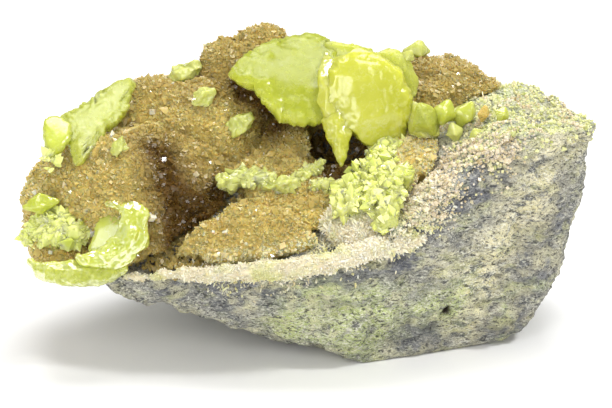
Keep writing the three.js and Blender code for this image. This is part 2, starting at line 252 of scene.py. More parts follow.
def add_piece(name, points_mm, faces, material, replaced, smooth=True, values=None):
    """Makes a mesh object from arrays and says what it rides on and stands for. `values` are numbers per
    point."""
    mesh = bpy.data.meshes.new(name)
    sides = faces.shape[1]
    mesh.vertices.add(len(points_mm))
    mesh.vertices.foreach_set("co", (points_mm * MM).astype(np.float32).reshape(-1))
    mesh.loops.add(faces.size)
    mesh.loops.foreach_set("vertex_index", faces.astype(np.int32).reshape(-1))
    mesh.polygons.add(len(faces))
    mesh.polygons.foreach_set("loop_start", np.arange(0, faces.size, sides, dtype=np.int32))
    mesh.polygons.foreach_set("use_smooth", np.full(len(faces), smooth))
    for key, numbers in (values or {}).items():
        layer = mesh.attributes.new(key, "FLOAT", "POINT")
        layer.data.foreach_set("value", numbers.astype(np.float32))
    mesh.update(calc_edges=True)
    mesh.materials.append(material)
    piece = bpy.data.objects.new(name, mesh)
    bpy.context.scene.collection.objects.link(piece)
    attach(piece, "root")
    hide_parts(replaced)


# ---------------------------------------------------------------- shapes from the directions of a sphere

def curve(points, count, closed=False):
    """Points along a smooth curve through the given ones: on each stretch, the cubic that runs through
    its two ends with slopes of half the chord between their neighbours (Catmull-Rom)."""
    points = np.array(points, float)
    last = len(points) - (0 if closed else 1)
    t = np.linspace(0, last, count, endpoint=not closed)
    i = np.minimum(t.astype(int), last - 1)
    f = (t - i)[:, None]
    def at(k):
        return points[k % len(points)] if closed else points[np.clip(k, 0, len(points) - 1)]
    p, q, r, s = at(i - 1), at(i), at(i + 1), at(i + 2)
    return 0.5 * (2 * q + (r - p) * f + (2 * p - 5 * q + 4 * r - s) * f**2 + (3 * q - p - 3 * r + s) * f**3)


def plate(outline, front, back, n, edge=0.4, ragged=0.2, seed=0):
    """A flat crystal from its outline in space. Seen along the plate's own normal, a sphere's direction
    at the angle t and the share e from the middle to the rim goes to that share of the outline's distance
    at t, and rises by the front or back thickness times how far the direction points that way. A small
    `edge` makes a flat face with a steep rim. Noise of `ragged` millimetres breaks the outline."""
    directions, quads = sphere_grid(n)
    rim = curve(outline, 400, closed=True)
    centre = rim.mean(0)
    away = rim - centre
    wave = Noise(200 + seed).layered(rim, 2.0, 4, 0.75)
    away = away * (1 + ragged * wave / np.linalg.norm(away, axis=1))[:, None]
    u, _, w = np.linalg.svd(away, full_matrices=False)[2]
    w = w if w @ np.array([0, -1, 0.3]) > 0 else -w
    v = np.cross(w, u)
    angle = np.arctan2(away @ v, away @ u)
    order = np.argsort(angle)
    angle, distance, lift = angle[order], np.hypot(away @ u, away @ v)[order], (away @ w)[order]
    turn = np.arctan2(directions[:, 1], directions[:, 0])
    reach = np.interp(turn, angle, distance, period=2 * np.pi)
    lift = np.interp(turn, angle, lift, period=2 * np.pi)
    share = np.hypot(directions[:, 0], directions[:, 1]) ** edge
    side = directions[:, 2]
    height = np.where(side > 0, front, back) * np.sign(side) * np.abs(side) ** 0.8 + share**2 * lift
    flat = (share * reach)[:, None] * (np.cos(turn)[:, None] * u + np.sin(turn)[:, None] * v)
    return centre + flat + height[:, None] * w, quads


def tube(path, thickness, flatness, n, seed=0, uneven=0.15):
    """A round-ended bar along a path. A sphere's direction that makes the angle a with the first axis
    goes to the share a over pi of the path's length, and round it at the thickness there times the sine
    of a to the power 0.6. Across the path it is `flatness` times as thick one way as the other."""
    directions, quads = sphere_grid(n)
    middle = curve(path, 300)
    along = np.gradient(middle, axis=0)
    along /= np.linalg.norm(along, axis=1, keepdims=True)
    side = np.cross(along, [0.0, -1.0, 0.35])
    side /= np.linalg.norm(side, axis=1, keepdims=True)
    up = np.cross(side, along)
    share = np.arccos(np.clip(-directions[:, 0], -1, 1)) / np.pi
    ring = np.hypot(directions[:, 1], directions[:, 2])
    turn = np.arctan2(directions[:, 2], directions[:, 1])
    wide = np.interp(share, np.linspace(0, 1, len(thickness)), thickness) * ring**0.6
    steps = np.linspace(0, 1, 300)
    def along_path(values):
        return np.stack([np.interp(share, steps, values[:, k]) for k in range(3)], 1)
    points = along_path(middle) + (wide * np.cos(turn))[:, None] * along_path(side)
    points += (wide * flatness * np.sin(turn))[:, None] * along_path(up)
    normals = normals_of(points, quads)
    return points + uneven * normals * Noise(260 + seed).layered(points, 2.4, 3)[:, None], quads


def chipped(points, count, depth, rng, towards=(0, -1, 0.6), spread=0.8):
    """Flat facets: for each of `count` directions, spread round `towards`, every point that reaches past
    a plane across that direction is pressed back onto the plane. The plane is `depth` millimetres inside
    the furthest one."""
    facing = np.array(towards) / np.linalg.norm(towards) + spread * rng.normal(size=(count, 3))
    facing /= np.linalg.norm(facing, axis=1, keepdims=True)
    for direction in facing:
        height = points @ direction
        past = np.maximum(height - (height.max() - depth * rng.uniform(0.4, 1.4)), 0)
        points = points - past[:, None] * direction
    return points


def etched(points, quads, seed, height, length):
    """Sharp crests with hollows between them: pushed out along the normals by `height` millimetres where
    noise of that length is zero and less the further it is from zero, and again at half the length and
    0.4 times the height."""
    normals = normals_of(points, quads)
    wave = Noise(seed)
    crest = 0.4 - 2 * np.abs(wave.at(points, length))
    crest += 0.4 * (0.4 - 2 * np.abs(wave.at(points + 40, length / 2)))
    return points + normals * (height * crest)[:, None]


def roughened(points, quads, seed, broad, fine):
    """Pushed in and out along the normals: `broad` millimetres over 3 mm and `fine` millimetres over 0.8
    mm."""
    normals = normals_of(points, quads)
    wave = Noise(seed)
    height = broad * wave.layered(points, 3.0, 2) + fine * wave.layered(points + 30, 0.8, 2)
    return points + normals * height[:, None]


# ---------------------------------------------------------------- crystals

def blunt_point():
    """A calcite rhomb stood on its corner: three upper and three lower points round the axis, with a tip
    above them and one below. Unit radius."""
    angle = np.arange(6) * np.pi / 3
    ring = np.stack([np.cos(angle), np.sin(angle), 0.36 * (-1.0) ** np.arange(6)], 1)
    points = np.vstack([ring, [[0, 0, 1.15], [0, 0, -1.15]]])
    return points, np.array([[0, 1, 6], [2, 3, 6], [4, 5, 6], [1, 2, 6], [3, 4, 6], [5, 0, 6],
                             [2, 1, 7], [4, 3, 7], [0, 5, 7], [3, 2, 7], [5, 4, 7], [1, 0, 7]])


def needle():
    """A thin four-sided prism with a pointed end at the top and at the bottom. Unit radius."""
    ring = np.array([[1, 0, 0], [0, 1, 0], [-1, 0, 0], [0, -1, 0]], float)
    points = np.vstack([ring + [0, 0, -1], ring * 0.8 + [0, 0, 2.4], [[0, 0, 3.4], [0, 0, -2]]])
    a = np.arange(4)
    b = (a + 1) % 4
    tip, foot = np.full(4, 8), np.full(4, 9)
    faces = [(a, b, b + 4), (a, b + 4, a + 4), (a + 4, b + 4, tip), (b, a, foot)]
    return points, np.vstack([np.stack(corners, 1) for corners in faces])


ACROSS, ALONG = 0.813, 1.6  # a bipyramid's half width and half length, when its half depth is 1
BASAL = 0.8  # its ends are cut off at this share of its length


def bipyramid(n, sharpness=22):
    """A rhombic bipyramid with rounded edges and cut-off ends, as sulfur grows. Its skin in the direction
    u is at (the sum over its faces of (u . face)^sharpness)^(-1 / sharpness), where each face is given by
    one over its intercepts on the three axes."""
    directions, quads = sphere_grid(n)
    signs = np.array([[x, y, z] for x in (1, -1) for y in (1, -1) for z in (1, -1)], float)
    end = 1 / (ALONG * BASAL)
    faces = np.vstack([signs / [ACROSS, 1.0, ALONG], [[0, 0, end], [0, 0, -end]]])
    reach = (np.maximum(directions @ faces.T, 0) ** sharpness).sum(1) ** (-1 / sharpness)
    return directions * reach[:, None], quads


def turned_to(normals, tilt, rng):
    """One set of three axes per crystal: the last near the normal, tilted at random, the others at a
    random turn."""
    lean = normals + tilt * rng.normal(size=normals.shape)
    axis = lean / np.linalg.norm(lean, axis=1, keepdims=True)
    side = np.cross(axis, rng.normal(size=axis.shape))
    side /= np.linalg.norm(side, axis=1, keepdims=True)
    return np.stack([side, np.cross(axis, side), axis], 1)


def crowd(template, places, axes, sizes):
    """One copy of the template at every place, as one mesh: each copy's points are its place plus the
    template's coordinates times its size along its own three axes."""
    points, faces = template
    scaled = points[None] * sizes[:, None, :]
    moved = places[:, None] + np.einsum("nvk,nkx->nvx", scaled, axes)
    shifted = faces[None] + (np.arange(len(places)) * len(points))[:, None, None]
    return moved.reshape(-1, 3), shifted.reshape(-1, faces.shape[1])


def add_crowd(name, template, places, axes, sizes, material, replaced, values):
    """A crowd as one mesh, or as several where one would be too large."""
    per_copy = len(template[1]) * (template[1].shape[1] - 2)
    parts = int(np.ceil(len(places) * per_copy / MOST_TRIANGLES))
    order = np.argsort(places[:, 0], kind="stable")
    for part, chosen in enumerate(np.array_split(order, parts)):
        corners, faces = crowd(template, places[chosen], axes[chosen], sizes[chosen])
        spread = {key: np.repeat(numbers[chosen], len(template[0])) for key, numbers in values.items()}
        add_piece(f"{name}_{part + 1}", corners, faces, material, replaced, False, spread)


def sites(points, quads, spacing, rng, others=(), values=None):
    """Places scattered over a skin, one for each square of that spacing, with the skin's normals there
    and a blend of the numbers given for its points. Those that another solid covers are left out."""
    a, b, c, d = points[quads].transpose(1, 0, 2)
    area = np.linalg.norm(np.cross(c - a, d - b), axis=1) / 2
    count = int(area.sum() / spacing**2)
    pick = rng.choice(len(quads), count, p=area / area.sum())
    s, t = rng.random((2, count, 1))
    def blend(numbers):
        a, b, c, d = numbers[quads[pick]].transpose(1, 0, 2)
        return (1 - s) * (1 - t) * a + s * (1 - t) * b + s * t * c + (1 - s) * t * d
    place, normal = blend(points), blend(normals_of(points, quads))
    normal /= np.maximum(np.linalg.norm(normal, axis=1, keepdims=True), 1e-9)
    number = blend((np.zeros(len(points)) if values is None else values)[:, None])[:, 0]
    open_air = np.ones(count, bool)
    for other in others:
        open_air &= ~other.holds(place + 0.5 * normal)
    return place[open_air], normal[open_air], number[open_air]


def near(points, centres, radius):
    """1 at any of the centres, falling smoothly to 0 over about the radius, in millimetres."""
    centres = np.array(centres, float)
    closest = np.full(len(points), np.inf)
    for centre in centres:
        closest = np.minimum(closest, ((points - centre) ** 2).sum(1))
    return np.exp(-closest / radius**2)


def near_path(points, path, radius):
    """The same for a line through the given points."""
    return near(points, curve(path, 6 * len(path)), radius)


# ---------------------------------------------------------------- finishes

def node_group(name, inputs, outputs):
    """An empty node group with named sockets. Inputs are {name: (kind, value)}, outputs {name: kind}."""
    group = bpy.data.node_groups.new(name, "ShaderNodeTree")
    for key, (kind, value) in inputs.items():
        socket = group.interface.new_socket(key, in_out="INPUT", socket_type="NodeSocket" + kind)
        if value is not None:
            socket.default_value = value
    for key, kind in outputs.items():
        group.interface.new_socket(key, in_out="OUTPUT", socket_type="NodeSocket" + kind)
    return group, group.nodes.new("NodeGroupInput"), group.nodes.new("NodeGroupOutput")


class Tree:
    """Short words for wiring a node tree."""

    def __init__(self, tree):
        self.tree = tree

    def add(self, kind, settings=None, **sockets):
        node = self.tree.nodes.new("ShaderNode" + kind)
        for key, value in (settings or {}).items():
            setattr(node, key, value)
        for key, value in sockets.items():
            self.set(node, key.replace("_", " "), value)
        return node

    def set(self, node, key, value):
        socket = node.inputs[int(key) if key.isdigit() else key]
        if isinstance(value, bpy.types.NodeSocket):
            self.tree.links.new(value, socket)
        else:
            socket.default_value = value

    def noise(self, vector, scale, detail=3.0, roughness=0.55):
        node = self.add("TexNoise", Vector=vector, Scale=scale, Detail=detail, Roughness=roughness)
        return node.outputs["Fac"]

    def ramp(self, factor, low, high, start=0.0, end=1.0):
        node = self.add("MapRange", Value=factor)
        for key, value in (("From Min", low), ("From Max", high), ("To Min", start), ("To Max", end)):
            self.set(node, key, value)
        return node.outputs["Result"]

    def maths(self, operation, a, b=0.0):
        node = self.add("Math", {"operation": operation})
        self.set(node, "0", a)
        self.set(node, "1", b)
        return node.outputs[0]

    def mix(self, factor, a, b):
        node = self.add("Mix", {"data_type": "RGBA"})
        self.set(node, "0", factor)
        self.set(node, "6", a)
        self.set(node, "7", b)
        return node.outputs[2]


def colour(red, green, blue):
    """A linear colour from what a colour picker shows, 0 to 255."""
    def linear(level):
        level /= 255
        return level / 12.92 if level < 0.04045 else ((level + 0.055) / 1.055) ** 2.4
    return (linear(red), linear(green), linear(blue), 1.0)


def make_blotches():
    """Patches: noise in space, cut between two levels. Stretch pulls the patches along a slanting
    direction."""
    group, given, out = node_group(
        "blotches",
        {"Vector": ("Vector", None), "Scale": ("Float", 100.0), "Level": ("Float", 0.5),
         "Softness": ("Float", 0.1), "Stretch": ("Vector", (1.0, 1.0, 1.0))},
        {"Mask": "Float"})
    t = Tree(group)
    turned = t.add("Mapping", Vector=given.outputs["Vector"], Rotation=(0.0, math.radians(-38), 0.0),
                   Scale=given.outputs["Stretch"]).outputs["Vector"]
    noise = t.noise(turned, given.outputs["Scale"], 4.0, 0.65)
    low = t.maths("SUBTRACT", given.outputs["Level"], given.outputs["Softness"])
    high = t.maths("ADD", given.outputs["Level"], given.outputs["Softness"])
    group.links.new(t.ramp(noise, low, high), out.inputs["Mask"])
    return group


def make_grain():
    """Fine relief: two sizes of noise and the cells of a broken surface, added as one height."""
    group, given, out = node_group(
        "grain",
        {"Vector": ("Vector", None), "Scale": ("Float", 1000.0), "Cells": ("Float", 0.5)},
        {"Height": "Float"})
    t = Tree(group)
    coarse = t.noise(given.outputs["Vector"], given.outputs["Scale"], 5.0, 0.65)
    cells = t.add("TexVoronoi", Vector=given.outputs["Vector"])
    group.links.new(t.maths("MULTIPLY", given.outputs["Scale"], 1.6), cells.inputs["Scale"])
    part = t.maths("MULTIPLY", cells.outputs["Distance"], given.outputs["Cells"])
    group.links.new(t.maths("ADD", coarse, part), out.inputs["Height"])
    return group


BLOTCHES = make_blotches()
GRAIN = make_grain()
WISPS = (0.65, 1.0, 1.35)  # patches drawn out along the rock's slanting layers


class Finish(Tree):
    """A material with one Principled shader, patterned in Object coordinates."""

    def __init__(self, name):
        self.material = bpy.data.materials.new(name)
        self.material.use_nodes = True
        super().__init__(self.material.node_tree)
        self.shader = self.tree.nodes["Principled BSDF"]
        self.place = self.add("TexCoord").outputs["Object"]

    def blotches(self, scale, level=0.5, softness=0.1, stretch=(1.0, 1.0, 1.0), amount=1.0):
        node = self.add("Group", {"node_tree": BLOTCHES}, Vector=self.place, Scale=scale, Level=level,
                        Softness=softness, Stretch=stretch)
        return self.maths("MULTIPLY", node.outputs["Mask"], amount)

    def value(self, name, amount=1.0):
        node = self.add("Attribute", {"attribute_name": name})
        return self.maths("MULTIPLY", node.outputs["Fac"], amount)

    def bump(self, scale, cells, depth_mm, strength=1.0):
        grain = self.add("Group", {"node_tree": GRAIN}, Vector=self.place, Scale=scale, Cells=cells)
        bump = self.add("Bump", Strength=strength, Distance=depth_mm * MM, Height=grain.outputs["Height"])
        self.set(self.shader, "Normal", bump.outputs["Normal"])

    def shade(self, **sockets):
        for key, value in sockets.items():
            self.set(self.shader, key.replace("_", " "), value)
        return self.material


def make_limestone():
    """Grey rock in slanting wisps, and over it the patches that its points ask for: blue-grey patches,
    which along the downward-facing band below the rim are painted shade, cream streaks, yellow-green
    powder, pale flecks fewer on the blue-grey, dark specks, and painted shade, a dark brown in the pit and
    where the rock is shut in between the mounds."""
    f = Finish("limestone_broken")
    body = f.mix(f.blotches(420, 0.5, 0.1, WISPS), colour(106, 108, 106), colour(198, 195, 178))
    # Blue-grey patches; along the downward-facing band below the rim this grey is painted shade.
    slate_and_shade = f.mix(f.blotches(500, 0.52, 0.1, WISPS), colour(82, 85, 94), colour(150, 151, 152))
    cream = f.mix(f.blotches(300, 0.5, 0.2), colour(222, 212, 154), colour(240, 232, 204))
    powder = f.mix(f.blotches(900, 0.5, 0.15), colour(176, 190, 116), colour(212, 218, 162))
    streaks = f.maths("MULTIPLY", f.value("cream"), f.blotches(420, 0.45, 0.06, WISPS))
    dusted = f.maths("MULTIPLY", f.value("powder"), f.blotches(420, 0.41, 0.06))
    fewer = f.ramp(f.value("slate_and_shade"), 0.0, 1.0, 1.0, 0.35)
    flecks = f.maths("MULTIPLY", f.blotches(2600, 0.55, 0.05, WISPS, 0.85), fewer)
    for mask, over in (
            (f.value("slate_and_shade"), slate_and_shade), (streaks, cream), (dusted, powder), (flecks, colour(240, 238, 220)),
            (f.blotches(300, 0.57, 0.05, WISPS, 0.4), colour(206, 206, 140)),
            (f.blotches(190, 0.55, 0.05, WISPS, 0.45), colour(98, 100, 106)),
            (f.blotches(230, 0.57, 0.05, amount=0.5), colour(222, 216, 178)),
            (f.blotches(1700, 0.58, 0.05, WISPS, 0.85), colour(56, 56, 56)),
            (f.blotches(4200, 0.6, 0.04, amount=0.7), colour(48, 48, 50)),
            # Painted shade: dark brown in the pit and in the gaps between the mounds.
            (f.value("dark"), colour(34, 22, 8))):
        body = f.mix(mask, body, over)
    f.bump(1900, 0.8, 0.4)
    return f.shade(Base_Color=body, Roughness=0.75)


def make_pale_crust():
    """Cream, lighter and darker by its `tone`, yellow-green in patches, and brown where it is `deep`."""
    f = Finish("cream_crust")
    body = f.mix(f.value("tone"), colour(198, 182, 136), colour(250, 244, 222))
    body = f.mix(f.blotches(200, 0.56, 0.08, amount=0.55), body, colour(206, 210, 120))
    body = f.mix(f.value("deep", 0.5), body, colour(140, 116, 70))
    return f.shade(Base_Color=body, Roughness=0.3, Subsurface_Weight=0.5, Subsurface_Scale=0.6 * MM,
                   Subsurface_Radius=(1.0, 0.8, 0.5))


def make_grit():
    """Small grains on the rock: cream, brown or yellow-green by their `kind`, lighter and darker by their
    `tone`."""
    f = Finish("crystal_grit")
    brown = f.mix(f.value("tone"), colour(176, 156, 118), colour(228, 214, 186))
    green = f.mix(f.value("tone"), colour(158, 164, 88), colour(226, 226, 170))
    body = f.mix(f.value("kind"), brown, green)
    return f.shade(Base_Color=body, Roughness=0.3, Subsurface_Weight=0.4, Subsurface_Scale=0.6 * MM,
                   Subsurface_Radius=(1.0, 0.9, 0.4))


def honey(f, dark, light):
    """The druse's brown, from its `tone`, going down to a deep brown of painted shade where it is shut in.
    """
    body = f.mix(f.value("tone"), dark, light)
    body = f.mix(f.blotches(110, 0.5, 0.16, amount=0.3), body, colour(206, 178, 92))
    body = f.mix(f.blotches(240, 0.56, 0.1, amount=0.2), body, colour(150, 116, 60))
    body = f.mix(f.value("fringe"), body, colour(240, 226, 178))
    # Painted shade: deep brown where the druse is shut in, in valleys and hollows, under the sulfur and at
    # the tops of the mounds.
    return f.mix(f.value("deep"), body, colour(88, 60, 18))


def make_druse_bed():
    """The dull brown between the druse's crystals."""
    f = Finish("druse_bed")
    f.bump(2200, 0.8, 0.25)
    return f.shade(Base_Color=honey(f, colour(188, 160, 84), colour(220, 198, 116)), Roughness=0.7,
                   Specular_IOR_Level=0.2, Subsurface_Weight=0.6, Subsurface_Scale=0.8 * MM,
                   Subsurface_Radius=(1.0, 0.65, 0.3))


def make_druse_points():
    """The druse's crystals: honey, glossy and a little clear, and almost white where `glint` paints a
    highlight on them.
    """
    f = Finish("druse_points")
    body = honey(f, colour(196, 172, 98), colour(228, 210, 138))
    # Painted highlight: crystals marked by `glint` are painted almost white.
    body = f.mix(f.value("glint", 0.9), body, colour(252, 246, 226))
    return f.shade(Base_Color=body, Roughness=0.12, IOR=1.55, Transmission_Weight=0.2,
                   Specular_IOR_Level=0.3, Subsurface_Weight=0.9, Subsurface_Scale=0.35 * MM,
                   Subsurface_Radius=(1.0, 0.75, 0.35))


def make_sulfur(name, pale, deep, clear, frost, depth_mm, bump_mm, smooth, rough, ior, veils):
    """Cloudy yellow crystal with light inside it: two yellows in patches, paler by its `tone`, a deeper
    yellow of painted shade where it faces up, paler veils where noise crosses its middle value, and frosted
    spots."""
    f = Finish(name)
    f.shader.subsurface_method = "RANDOM_WALK"
    body = f.mix(f.blotches(170, 0.5, 0.2), colour(*deep), colour(*pale))
    body = f.mix(f.value("tone"), body, colour(240, 242, 164))
    # Painted shade: a deeper yellow on faces that look up, where the lamps fall hardest.
    body = f.mix(f.value("painted_top_shade"), body, colour(166, 174, 46))
    veil = f.maths("ABSOLUTE", f.maths("SUBTRACT", f.noise(f.place, 260.0, 4.0, 0.6), 0.5))
    body = f.mix(f.ramp(veil, 0.0, 0.022, veils, 0.0), body, colour(244, 246, 196))
    body = f.mix(f.blotches(900, 0.64, 0.05, amount=frost), body, colour(244, 246, 200))
    rough = f.ramp(f.noise(f.place, 700.0), 0.35, 0.65, smooth, rough)
    f.bump(700, 0.3, bump_mm, 0.8)
    return f.shade(Base_Color=body, Roughness=rough, IOR=ior, Transmission_Weight=clear,
                   Subsurface_Weight=0.8, Subsurface_Radius=(1.0, 1.0, 0.4), Subsurface_Scale=depth_mm * MM)


LIMESTONE = make_limestone()
CRUST = make_pale_crust()
GRIT = make_grit()
DRUSE_BED = make_druse_bed()
DRUSE_POINTS = make_druse_points()
# The paler and the deeper yellow; then how clear, how frosted, how deep the light goes and how high the
# bumps are in millimetres, the smoothest and the roughest roughness, the refractive index, and how strong
# the veils are.
SULFUR_TABLET, SULFUR_BLADE, SULFUR_LEAF, SULFUR_BRIGHT, SULFUR_SMALL, SULFUR_GLASS, SULFUR_DIM = [
    make_sulfur("sulfur_" + name, *values) for name, *values in (
        ("tablet", (210, 211, 80), (190, 192, 50), 0.2, 0.14, 5.0, 0.06, 0.05, 0.22, 1.7, 0.15),
        ("blade", (205, 210, 90), (184, 192, 58), 0.3, 0.12, 5.0, 0.05, 0.12, 0.35, 1.4, 0.2),
        ("leaf", (192, 198, 92), (176, 184, 64), 0.3, 0.3, 3.0, 0.1, 0.1, 0.35, 1.45, 0.2),
        ("bright", (210, 218, 96), (196, 206, 52), 0.35, 0.2, 3.0, 0.06, 0.03, 0.14, 1.8, 0.2),
        ("small", (212, 217, 130), (184, 196, 80), 0.0, 0.2, 0.5, 0.08, 0.04, 0.12, 1.55, 0.1),
        ("glass", (236, 239, 150), (218, 225, 110), 0.4, 0.2, 0.6, 0.08, 0.03, 0.1, 1.6, 0.3),
        ("dim", (212, 214, 104), (190, 194, 66), 0.3, 0.15, 2.0, 0.1, 0.05, 0.2, 1.8, 0.35))]


# ---------------------------------------------------------------- the rock

ROCK = Solid("matrix_rock", (0.51, 0.52, 0.46))
# Where the rock shows between the mounds, and where it changes colour. All in millimetres.
# GAPS also mark where painted shade darkens the rock between the mounds.
GAPS = [(-17.3, -18, 22.5), (-15, -16, 24), (-20, -18.5, 20.5), (-12, -15, 25), (-19, -14, 22),
        (-24, -17, 20), (-10, -13, 27), (5.5, 1.8, 27), (3, 5, 28), (8, 5, 28), (5, 9, 30), (9, 9, 31),
        (1, 8, 31), (5, -6, 28), (11, 2, 32)]
GREEN_SPOTS = [(2.3, -21.4, 14.3), (7.2, -20.2, 12), (11.4, -17, 7.2), (9, -16.3, 3.4), (5.6, -18, 6.8),
               (-1, -19.3, 9.9), (-2.6, -17.6, 7.5), (12.2, -18.3, 11.3), (23.4, -13, 10.5)]
CREAM_SPOTS = [(39.3, -10.4, 32.9), (36.9, -10.8, 27.8), (35.4, -10.5, 22.4), (32.1, -11.8, 19.4),
               (28.9, -12.1, 14.2), (27.3, -11.8, 10.5), (41.8, -9.8, 36.2), (44.3, -8.9, 37.6),
               (30.4, -14, 8.6)]
# Blue-grey patches; the points from (-22, -20, 16.5) on lie along the downward-facing band below the rim,
# where the grey is painted shade.
SLATE_AND_SHADE_SPOTS = [(21.7, -20.3, 29.6), (25, -18.9, 30.8), (28.3, -17.2, 31.9), (31.7, -15.2, 32.9),
               (18.5, -20.8, 26.3), (28.2, -17.5, 37.2), (15.3, -21, 21.1), (40, -6, 24), (38, -6, 14),
               (34, -8, 4), (20, -14, 4), (-22, -20, 16.5), (-16, -21, 17), (-10, -22, 18), (-6, -22, 18),
               (-2, -22, 19), (2, -22, 19), (6, -22, 20), (10, -21.5, 21)]
PINK_SPOTS = [(17, -8.6, 35.8), (20.3, -12.1, 34.4), (23.6, -11.6, 35.1), (26.9, -12.1, 37),
              (29.9, -15.8, 39.2), (21.8, -18.6, 33.3), (18.5, -20.3, 30.4), (16.2, -15.5, 30.4),
              (31.6, -15.6, 38)]
WHITE_SPOTS = [(11.2, -19.4, 28.4), (14.4, -21.1, 27.3), (16.9, -21, 28.9), (12.8, -24.6, 25.1),
               (8.7, -25.9, 23.3), (7.1, -21.7, 25.8), (17.8, -17, 31), (19.6, -20.8, 29), (0, -21, 23),
               (3, -20, 24.5), (-4, -22, 22), (-9, -21, 21.5), (-14, -20.5, 20.5)]
PIT, PIT_RADIUS, PIT_DEPTH = (23.4, -13.1, 8.7), 1.1, 2.4
UNDERCUT, UNDERCUT_HEIGHT = 0.04, 3.5  # the foot is drawn in by this share, below this height


def make_rock():
    """The CAD skin on a fine grid, with its edges worn, pushed in and out along its normals by layered
    noise. Sharp ridges come from one minus the size of the noise. The foot keeps its flat underside."""
    points, quads = ROCK.surface(124)
    points = smoothed(points, quads, 2)
    normals = normals_of(points, quads)
    broad, fine = Noise(3), Noise(4)
    slanted = points @ np.array([[0.55, 0, 0.3], [0, 1, 0], [-0.5, 0, 1.2]])
    height = 1.2 * broad.layered(points, 7.0, 3) - 1.1 * np.abs(broad.layered(slanted + 50, 5.0, 4, 0.6))
    fine_height = 0.35 + 0.25 * np.clip((points[:, 2] - 34) / 4, 0, 1)
    height += fine_height * fine.layered(slanted, 1.8, 2)
    above_floor = np.clip(points[:, 2] / 2.0, 0, 1)
    points = points + above_floor[:, None] * normals * height[:, None]
    pit = near(points, [PIT], PIT_RADIUS)
    points = points + normals * (-PIT_DEPTH * pit)[:, None]
    points[:, 2] = np.maximum(points[:, 2], 0)
    low = np.clip(1 - points[:, 2] / UNDERCUT_HEIGHT, 0, 1)[:, None]
    foot = points[points[:, 2] < 0.01, :2].mean(0)
    points[:, :2] += UNDERCUT * low * (foot - points[:, :2])
    patches = Noise(8).layered(points, 6.0, 3)
    top = np.clip((points[:, 2] - 35) / 4, 0, 1) * np.clip(normals[:, 2] * 2, 0, 1)
    back = np.clip((points[:, 1] + 2) / 6, 0, 1)
    green_patches = np.clip(patches * 2 - 0.7, 0, 1) * (0.6 + 0.4 * back)
    cream_patches = np.clip(-patches * 2 - 0.5, 0, 1) * (0.5 + 0.5 * back)
    # Painted shade: the rock is painted dark brown in the pit and on upward faces shut in between the
    # mounds.
    shut = near(points, GAPS, 3.5) * (normals[:, 2] > 0.3)
    values = {"powder": 1.2 * near(points, GREEN_SPOTS, 4.4) + 0.75 * top + green_patches,
              "cream": 1.3 * near(points, CREAM_SPOTS, 5.2) + cream_patches,
              "slate_and_shade": 1.2 * near(points, SLATE_AND_SHADE_SPOTS, 4.8),
              "dark": np.maximum(pit * 3 - 0.6, 1.5 * shut)}
    values = {key: np.clip(numbers, 0, 1) for key, numbers in values.items()}
    add_piece("rock", points, quads, LIMESTONE, "matrix_rock", values=values)
    return points, quads


ROCK_SKIN = make_rock()


# ---------------------------------------------------------------- the druse

DRUSE_ROOTS = {
    "druse_left": (0.58, 0.62, 0.33),
    "druse_floor": (0.53, 0.48, 0.25),
    "druse_front": (0.6, 0.87, -0.45),
    "druse_right": (0.48, 0.54, -0.06),
    "druse_shelf": (0.78, 0.59, -0.2),
    "druse_corner": (0.71, 0.97, 0.44),
}
DRUSE = {name: Solid(name, root) for name, root in DRUSE_ROOTS.items()}
DRUSE_GRID = {"druse_left": 90, "druse_floor": 64}
VALLEYS = [  # the lines of the two deep creases
    ((-24.1, -8, 36.5), (-23.1, -11.3, 35), (-22.2, -14.8, 32.8), (-20.9, -15.8, 28.8),
     (-19.8, -15.9, 23.6)),
    ((-18.5, -15.5, 22.5), (-16.5, -13, 25.5), (-14.5, -11, 28), (-12.2, -9.2, 29.4)),
]
# Spots under the sulfur and in the hollows where painted shade darkens the druse.
SHUT_IN = [(-9.4, 6.3, 41.7), (-7.4, 5.6, 38.4), (-5.2, 1.7, 36.7), (3.2, 9.3, 31.4), (4.8, -7, 30.6),
           (8.6, -4.7, 32.7), (9.8, -2.6, 33.7), (5.5, 1.8, 27), (12, 0, 36), (-1.5, 4, 37)]
FRINGE = [(-21, -21.5, 20.5), (-14, -23.4, 21.2), (-5, -23.4, 22.2), (2.2, -21.5, 24), (3, -18, 26)]
HOLLOW_CENTRE, HOLLOW_RADII = np.array([5.5, 1.8, 31.0]), np.array([5.6, 7.6, 5.2])
DRUSE_SPACING, DRUSE_WIDTH = 0.38, 0.27  # between the druse's crystals, and of each one


def opened(points):
    """The skin where it closes over the hollow is dropped straight down to the hollow's lower half."""
    away = (points - HOLLOW_CENTRE) / HOLLOW_RADII
    across = (away[:, :2] ** 2).sum(1)
    bowl = np.sqrt(np.clip(1 - across, 0, 1))
    floor = HOLLOW_CENTRE[2] - HOLLOW_RADII[2] * bowl
    over = (across < 1) & (away[:, 2] > -bowl)
    return np.stack([points[:, 0], points[:, 1], np.where(over, floor, points[:, 2])], 1)


